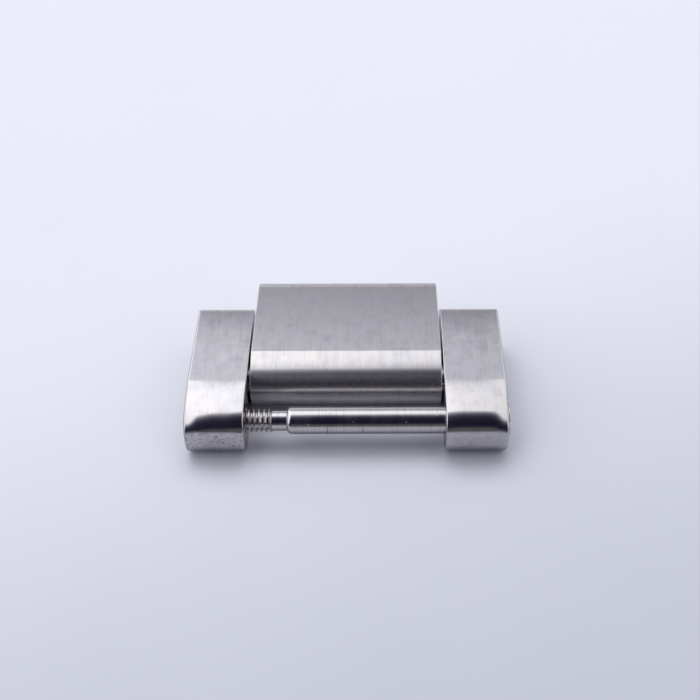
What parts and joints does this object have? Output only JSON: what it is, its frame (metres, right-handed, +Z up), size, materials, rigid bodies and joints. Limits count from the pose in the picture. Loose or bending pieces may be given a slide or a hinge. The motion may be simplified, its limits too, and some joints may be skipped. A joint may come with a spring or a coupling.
{
  "type": "watch bracelet link",
  "caption": "Steel watch bracelet link: side links either side of a set-back centre link on a hinge pin, with a removable screw across the open front gap.",
  "frame": {"origin": "on the underside, midway across the link and midway along its whole length", "axes": "+X across the bracelet towards the screw's head, +Y along it towards the centre link's rear end, +Z up from the underside"},
  "size_m": [0.0161, 0.0106, 0.0028],
  "materials": {
    "satin_steel": "brushed along the bracelet",
    "polished_steel": "turned and polished"
  },
  "bodies": {
    "side_links": {"left_side_link": "satin_steel", "right_side_link": "satin_steel", "fixed_pin": "polished_steel"},
    "centre": {"centre_link": "satin_steel"},
    "screw": {"link_screw": "polished_steel"}
  },
  "joints": [
    {"name": "centre_pivot", "type": "hinge", "parent": "side_links", "child": "centre", "pos_m": [0, -0.00111, 0.0013], "axis": [1, 0, 0], "range_deg": [-130, 125]},
    {"name": "screw_withdrawal", "type": "slide", "parent": "side_links", "child": "screw", "axis": [1, 0, 0], "range_m": [0, 0.0155]}
  ]
}
